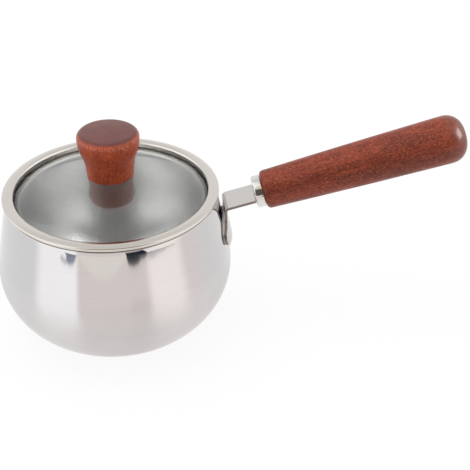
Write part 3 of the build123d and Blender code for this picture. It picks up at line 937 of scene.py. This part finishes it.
def bracket_surface():
    """The bent sheet as a section with round edges, carried along the path. On the plate
    the section is bowed about an upright axis, to the plate's curve."""
    path, facing, thick, bow = bracket_path()
    normal = np.column_stack([np.cos(facing), -np.sin(facing)])
    width = bracket_half_width(path[:, 1:])
    inner = width - bracket_edge
    quarter = np.linspace(0, np.pi / 2, 6)
    steps = np.linspace(-1, 1, 33)[1:-1]
    left = -inner - bracket_edge * np.cos(quarter)
    right = inner + bracket_edge * np.sin(quarter)
    lateral = np.concatenate([left, steps * inner, right], axis=1)
    depth = thick[:, None] / 2 * round_edge(width - np.abs(lateral))
    depth *= round_edge(path[:, 1:] - plate_bottom)
    radius = plate_curve + thick[0] / 2
    dip = bow[:, None] * (radius - np.sqrt(radius**2 - lateral**2))

    def face(sign):
        off = sign * depth - dip
        return np.stack(
            [path[:, :1] + off * normal[:, :1], lateral, path[:, 1:] + off * normal[:, 1:]], axis=-1
        )

    loop = np.concatenate([face(1), face(-1)[:, ::-1]], axis=1)
    rows, columns = loop.shape[:2]
    sides = grid_quads(rows, columns, wrap_rows=False)[:, ::-1]
    across = np.arange(columns // 2 - 1)
    start_cap = np.column_stack([across, across + 1, columns - 2 - across, columns - 1 - across])
    end_cap = (rows - 1) * columns + start_cap[:, ::-1]
    return loop.reshape(-1, 3), np.concatenate([sides, start_cap, end_cap]).tolist()


write_piece(
    "handle_bracket_sheet", *bracket_surface(), "pan", "bracket_steel", bracket_steel, ["handle_bracket"]
)

# CAD nodes that keep their shape and get their finish
for label, finish in {
    "handle_stud": hidden_steel,
    "handle_insert": insert_brass,
    "lid_seal": seal_silicone,
    "knob_gasket": silicone,
    "knob_bush": silicone,
    "knob_washer": hidden_steel,
    "knob_screw": hidden_steel,
    "knob_insert": insert_brass,
}.items():
    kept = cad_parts[label]
    kept.data.materials.clear()
    kept.data.materials.append(finish)


def stage_plane(name, corners):
    """A flat stage piece from its corners in millimetres. Returns it with its node tree."""
    mesh = bpy.data.meshes.new(name)
    mesh.from_pydata((np.array(corners) * MM).tolist(), [], [tuple(range(len(corners)))])
    plane = bpy.data.objects.new(name, mesh)
    bpy.context.scene.collection.objects.link(plane)
    material = bpy.data.materials.new(name)
    material.use_nodes = True
    material.node_tree.nodes.clear()
    mesh.materials.append(material)
    plane.visible_transmission = False
    return plane, material.node_tree


def studio_floor():
    """A pale table top: nearly white to the camera, with the pan's soft shadow kept on it."""
    side, drop = 3000.0, 0.2
    table_top, tree = stage_plane(
        "table_top", [(-side, -side, 0), (side, -side, 0), (side, side, 0), (-side, side, 0)]
    )
    table_top.location.z = -drop * MM
    matt = node(tree, "BsdfDiffuse", {"Color": (0.86, 0.86, 0.865, 1)}).outputs[0]
    white = node(tree, "Emission", {"Color": (1, 1, 1, 1), "Strength": 1.0}).outputs[0]
    camera = node(tree, "LightPath").outputs["Is Camera Ray"]
    seen = node(tree, "MixShader", {0: maths(tree, "MULTIPLY", camera, 0.9), 1: matt, 2: white})
    node(tree, "OutputMaterial", {"Surface": seen.outputs[0]})
    table_top.visible_glossy = False


def low_card(name, outline, colour, height=1.0):
    """A card that lies over the table in front of the pan, and is seen only where a
    polished face mirrors it. Its outline and height are in millimetres."""
    card, tree = stage_plane(name, [(x, y, height) for x, y in outline])
    glow = node(tree, "Emission", {"Color": (*colour, 1), "Strength": 1.0}).outputs[0]
    node(tree, "OutputMaterial", {"Surface": glow})
    card.visible_camera = False
    card.visible_diffuse = False
    card.visible_shadow = False


def toned_ring(tree, share, stops):
    """A colour that changes with the direction's azimuth, from stops in degrees."""
    ring = tree.nodes.new("ShaderNodeValToRGB")
    ring.color_ramp.interpolation = "EASE"
    elements = ring.color_ramp.elements
    while len(elements) < len(stops):
        elements.new(0.5)
    for element, (angle, colour) in zip(elements, stops):
        element.position = angle / 360 + 0.5
        element.color = (*colour, 1)
    tree.links.new(share, ring.inputs[0])
    return ring.outputs["Color"]


def studio_light():
    """Light from all sides. Above the horizon stand two tall, wide soft boxes left and right
    of the pan, with a dim gap before it, a pale wall behind it and a cream ceiling in front.
    Below the horizon is the pale table with their light on it. What is seen out through the
    lid's glass has tones of its own, over_lid: two soft boxes with a dark gap between them
    in front, and dark behind. The background is white to the camera."""
    world = bpy.data.worlds.new("studio")
    bpy.context.scene.world = world
    world.use_nodes = True
    tree = world.node_tree
    tree.nodes.clear()
    direction = node(tree, "TexCoord").outputs["Generated"]
    parts = node(tree, "SeparateXYZ", {"Vector": direction}).outputs
    away = maths(tree, "MULTIPLY", parts["Y"], -1.0)
    azimuth = maths(tree, "ARCTAN2", parts["X"], away)
    share = maths(tree, "ADD", maths(tree, "DIVIDE", azimuth, 2 * np.pi), 0.5)
    room = toned_ring(tree, share, [
        (-180, (0.98, 0.98, 0.98)),
        (-132, (0.98, 0.98, 0.99)),
        (-114, (1.45, 1.46, 1.5)),
        (-60, (1.5, 1.5, 1.52)),
        (-40, (1.4, 1.4, 1.4)),
        (-30, (0.12, 0.11, 0.10)),
        (34, (0.12, 0.11, 0.10)),
        (56, (1.4, 1.4, 1.4)),
        (70, (1.5, 1.5, 1.5)),
        (114, (1.45, 1.45, 1.46)),
        (132, (0.98, 0.98, 0.99)),
        (180, (0.98, 0.98, 0.98)),
    ])
    ceiling = toned_ring(tree, share, [
        (-180, (0.85, 0.85, 0.84)),
        (-128, (0.85, 0.85, 0.84)),
        (-108, (1.3, 1.3, 1.32)),
        (-44, (1.3, 1.3, 1.3)),
        (-30, (0.93, 0.85, 0.71)),
        (25, (0.93, 0.85, 0.71)),
        (40, (1.3, 1.3, 1.3)),
        (108, (1.3, 1.3, 1.32)),
        (128, (0.85, 0.85, 0.84)),
        (180, (0.85, 0.85, 0.84)),
    ])
    table = toned_ring(tree, share, [
        (-180, (0.95, 0.96, 0.97)),
        (-110, (0.95, 0.97, 0.99)),
        (-84, (0.96, 0.975, 0.99)),
        (-70, (1.30, 1.31, 1.34)),
        (-38, (1.33, 1.33, 1.36)),
        (-32, (0.965, 0.90, 0.89)),
        (27, (0.965, 0.90, 0.89)),
        (37, (1.27, 1.20, 1.18)),
        (61, (1.25, 1.19, 1.16)),
        (75, (0.98, 0.92, 0.91)),
        (104, (0.93, 0.935, 0.94)),
        (180, (0.95, 0.96, 0.97)),
    ])
    near_table = (1.06, 1.045, 1.04, 1)
    zenith = (0.75, 0.75, 0.74, 1)
    height = parts["Z"]
    around = blended(tree, spread(tree, height, -0.8, -0.35), near_table, table)
    around = blended(tree, spread(tree, height, -0.04, 0.04), around, room)
    around = blended(tree, spread(tree, height, 0.62, 0.76), around, ceiling)
    around = blended(tree, spread(tree, height, 0.93, 0.99), around, zenith)
    over_lid = toned_ring(tree, share, [
        (-180, (0.07, 0.08, 0.08)),
        (-138, (0.07, 0.08, 0.08)),
        (-115, (2.2, 2.2, 2.23)),
        (-70, (2.3, 2.3, 2.3)),
        (-55, (2.2, 2.2, 2.18)),
        (-51, (0.18, 0.18, 0.17)),
        (45, (0.18, 0.18, 0.17)),
        (49, (2.5, 2.5, 2.5)),
        (66, (2.7, 2.7, 2.72)),
        (115, (2.2, 2.2, 2.23)),
        (138, (0.07, 0.08, 0.08)),
        (180, (0.07, 0.08, 0.08)),
    ])
    path = node(tree, "LightPath").outputs
    around = blended(tree, path["Is Transmission Ray"], around, over_lid)
    light = node(tree, "Background", {"Color": around, "Strength": 1.0}).outputs[0]
    white = node(tree, "Background", {"Color": (1, 1, 1, 1), "Strength": 1.0}).outputs[0]
    seen = node(tree, "MixShader", {0: path["Is Camera Ray"], 1: light, 2: white})
    node(tree, "OutputWorld", {"Surface": seen.outputs[0]})


def soft_lamp(name, where, aim, size, power):
    """A square soft lamp at a place, turned to another place, in metres and watts."""
    lamp = bpy.data.lights.new(name, "AREA")
    lamp.shape = "SQUARE"
    lamp.size = size
    lamp.energy = power
    holder = bpy.data.objects.new(name, lamp)
    bpy.context.scene.collection.objects.link(holder)
    holder.location = where
    holder.visible_glossy = False
    holder.visible_transmission = False
    holder.rotation_euler = (Vector(aim) - Vector(where)).to_track_quat("-Z", "Y").to_euler()
    return holder


def photo_camera():
    """The camera at the photograph's viewing angle, which a fit to the ring, the body and
    the handle gave: its right, up and backward directions are the columns of its turn, and
    its place is in metres."""
    data = bpy.data.cameras.new("photo_camera")
    data.lens = 65.1
    data.sensor_width = 36.0
    camera = bpy.data.objects.new("photo_camera", data)
    bpy.context.scene.collection.objects.link(camera)
    forward = Vector((0.0882, 0.82283, -0.5614)).normalized()
    up = Vector((0.039, 0.56031, 0.82737))
    right = forward.cross(up).normalized()
    up = right.cross(forward)
    turn = Matrix((right, up, -forward)).transposed().to_4x4()
    camera.matrix_world = Matrix.Translation((0.02997, -0.48076, 0.38727)) @ turn
    bpy.context.scene.camera = camera


studio_floor()
low_card("cream_card", [
    (-267, -411), (-215, -414), (-166, -408), (-117, -406), (-68, -413), (-26, -427), (23, -456),
    (66, -490), (112, -528), (130, -600), (60, -640), (-120, -640), (-320, -580), (-290, -450),
], (1.03, 1.0, 0.955))
low_card("dark_card", [
    (225, -1120), (130, -600), (106, -500), (111, -461), (134, -441), (169, -430), (205, -435),
    (227, -419), (252, -416), (273, -438), (330, -560), (560, -1040),
], (0.025, 0.033, 0.045), 2.0)
low_card("grey_card", [
    (252, -416), (296, -383), (333, -326), (369, -220), (390, -235), (360, -360), (310, -450), (273, -438),
], (0.45, 0.44, 0.45), 2.0)
low_card("blue_card", [
    (-430, -440), (-306, -338), (-290, -325), (-280, -312), (-262, -323), (-250, -345), (-251, -382),
    (-300, -470),
], (0.27, 0.30, 0.40), 2.0)
low_card("haze_card", [
    (-317, -282), (-301, -283), (-277, -300), (-276, -318), (-281, -337), (-299, -309), (-312, -301),
], (0.55, 0.57, 0.63), 1.5)
low_card("streak_card", [
    (267, -430), (242, -406), (259, -374), (299, -345), (338, -290), (360, -300), (325, -385),
], (0.75, 0.74, 0.74), 1.5)
studio_light()
soft_lamp("top_soft_box", (-0.25, 0.15, 1.3), (0.06, 0, 0.05), 0.9, 6.0)
# A lamp for the highlight on the grip's round end alone
window = soft_lamp("end_window", (1.10, -0.26, 0.76), (0.22, 0, 0.13), 0.65, 16.0)
window.visible_diffuse = False
window.visible_glossy = True
lit_pieces = bpy.data.collections.new("lit_by_end_window")
lit_pieces.objects.link(bpy.data.objects["handle_grip_turned"])
window.light_linking.receiver_collection = lit_pieces
photo_camera()

bpy.context.scene.view_settings.view_transform = "Standard"
